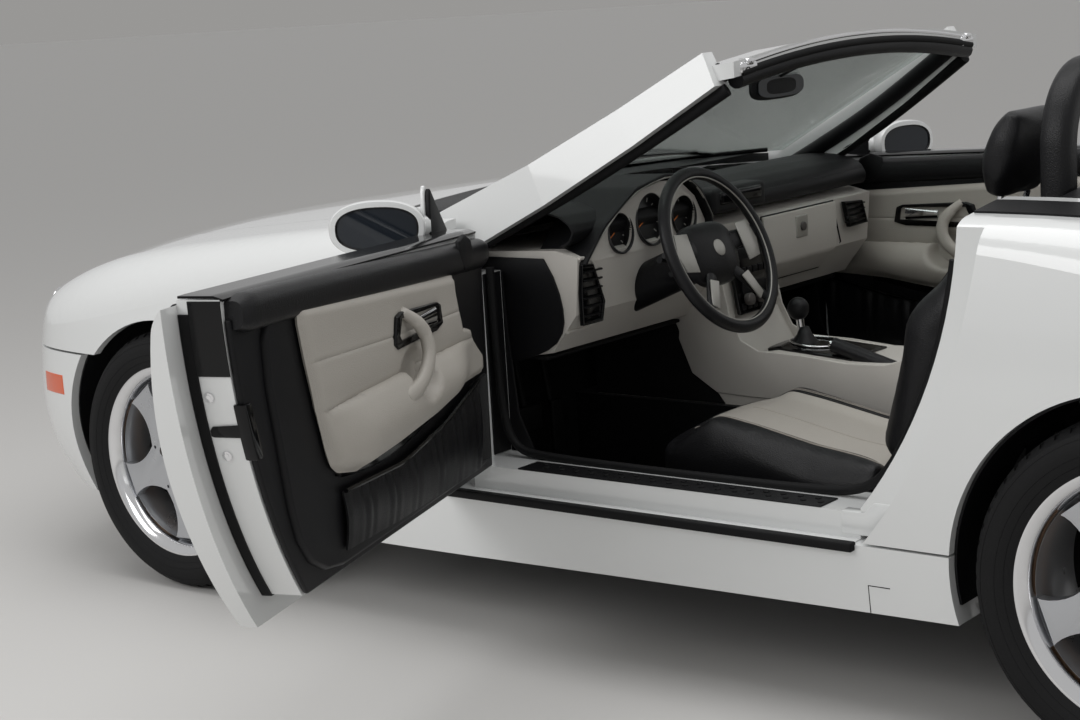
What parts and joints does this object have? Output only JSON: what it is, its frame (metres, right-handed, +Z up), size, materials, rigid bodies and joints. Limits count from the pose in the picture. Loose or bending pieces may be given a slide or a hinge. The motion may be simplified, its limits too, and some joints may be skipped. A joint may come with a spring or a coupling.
{
  "type": "two-seat roadster car",
  "caption": "Open two-seat road car with its folding roof stowed, turning wheels, steering, hinged doors, bonnet and boot lid.",
  "frame": {"origin": "on the ground, on the centreline, midway between the two axles", "axes": "-X towards the nose, -Y towards the driver's side, +Z up"},
  "size_m": [4, 2.9223, 1.2449],
  "materials": {
    "paint_white": "gloss",
    "trim_black": "satin",
    "lamp_clear": "gloss",
    "lamp_red": "gloss",
    "glass_tint": "gloss",
    "carpet": "matte",
    "cast_metal": "matte",
    "exhaust_steel": "satin",
    "dash_black": "matte",
    "dash_pale": "matte",
    "leather_black": "satin",
    "leather_pale": "satin",
    "tyre_rubber": "matte",
    "rim_alloy": "satin"
  },
  "bodies": {
    "car_body": {"arch_liners": "trim_black", "boot_tub": "carpet", "centre_console": "dash_pale", "cowl": "trim_black", "dash_lower": "dash_pale", "dash_upper": "dash_black", "driveline": "cast_metal", "engine_block": "cast_metal", "exhaust": "exhaust_steel", "fenders": "paint_white", "firewall": "paint_white", "floor_pan": "paint_white", "front_bumper": "paint_white", "front_subframe": "cast_metal", "head_restraints": "leather_black", "headlamps": "lamp_clear", "hinge_posts": "paint_white", "interior_mirror": "trim_black", "quarter_panels": "paint_white", "rear_axle": "cast_metal", "rear_bulkhead": "paint_white", "rear_bumper": "paint_white", "rear_deck": "trim_black", "roll_hoops": "leather_black", "seat_backs": "leather_pale", "seat_cushions": "leather_pale", "side_walls": "paint_white", "sills": "paint_white", "steering_column": "trim_black", "tail_lamps": "lamp_red", "windscreen_frame": "paint_white", "windscreen_glass": "glass_tint"},
    "bonnet": {"bonnet": "paint_white", "grille": "trim_black"},
    "boot_lid": {"boot_lid": "paint_white"},
    "door_left": {"door_shell_left": "paint_white", "door_trim_left": "dash_pale", "door_mirror_left": "paint_white"},
    "door_right": {"door_shell_right": "paint_white", "door_trim_right": "dash_pale", "door_mirror_right": "paint_white"},
    "knuckle_left": {"knuckle_left": "cast_metal"},
    "knuckle_right": {"knuckle_right": "cast_metal"},
    "wheel_front_left": {"tyre_front_left": "tyre_rubber", "rim_front_left": "rim_alloy"},
    "wheel_front_right": {"tyre_front_right": "tyre_rubber", "rim_front_right": "rim_alloy"},
    "wheel_rear_left": {"tyre_rear_left": "tyre_rubber", "rim_rear_left": "rim_alloy"},
    "wheel_rear_right": {"tyre_rear_right": "tyre_rubber", "rim_rear_right": "rim_alloy"},
    "steering_wheel": {"steering_wheel": "leather_black"}
  },
  "joints": [
    {"name": "door_left_hinge", "type": "hinge", "parent": "car_body", "child": "door_left", "pos_m": [-0.326, -0.812, 0.62], "axis": [-0.01, 0, -0.9999], "range_deg": [-70, 0]},
    {"name": "door_right_hinge", "type": "hinge", "parent": "car_body", "child": "door_right", "pos_m": [-0.326, 0.812, 0.62], "axis": [0.01, 0, 0.9999], "range_deg": [0, 70]},
    {"name": "bonnet_hinge", "type": "hinge", "parent": "car_body", "child": "bonnet", "pos_m": [-0.56, 0, 0.902], "axis": [0, 1, 0], "range_deg": [0, 50]},
    {"name": "boot_lid_hinge", "type": "hinge", "parent": "car_body", "child": "boot_lid", "pos_m": [1.055, 0, 0.945], "axis": [0, -1, 0], "range_deg": [0, 68]},
    {"name": "steer_left", "type": "hinge", "parent": "car_body", "child": "knuckle_left", "pos_m": [-1.2, -0.67683, 0.317], "axis": [0, 0.2079, 0.9781], "range_deg": [-33, 33]},
    {"name": "steer_right", "type": "hinge", "parent": "car_body", "child": "knuckle_right", "pos_m": [-1.2, 0.67683, 0.317], "axis": [0, -0.2079, 0.9781], "range_deg": [-33, 33]},
    {"name": "steering_wheel_turn", "type": "hinge", "parent": "car_body", "child": "steering_wheel", "pos_m": [0.08, -0.37, 0.805], "axis": [0.9205, 0, 0.3907], "range_deg": [-495, 495]},
    {"name": "wheel_front_left_spin", "type": "hinge", "parent": "knuckle_left", "child": "wheel_front_left", "pos_m": [-1.2, -0.744, 0.317], "axis": [0, -1, 0], "continuous": true},
    {"name": "wheel_front_right_spin", "type": "hinge", "parent": "knuckle_right", "child": "wheel_front_right", "pos_m": [-1.2, 0.744, 0.317], "axis": [0, -1, 0], "continuous": true},
    {"name": "wheel_rear_left_spin", "type": "hinge", "parent": "car_body", "child": "wheel_rear_left", "pos_m": [1.2, -0.7425, 0.314], "axis": [0, -1, 0], "continuous": true},
    {"name": "wheel_rear_right_spin", "type": "hinge", "parent": "car_body", "child": "wheel_rear_right", "pos_m": [1.2, 0.7425, 0.314], "axis": [0, -1, 0], "continuous": true}
  ],
  "couplings": [
    {"joint": "steer_right", "follows": "steer_left", "ratio": 1},
    {"joint": "steering_wheel_turn", "follows": "steer_left", "ratio": 15}
  ]
}
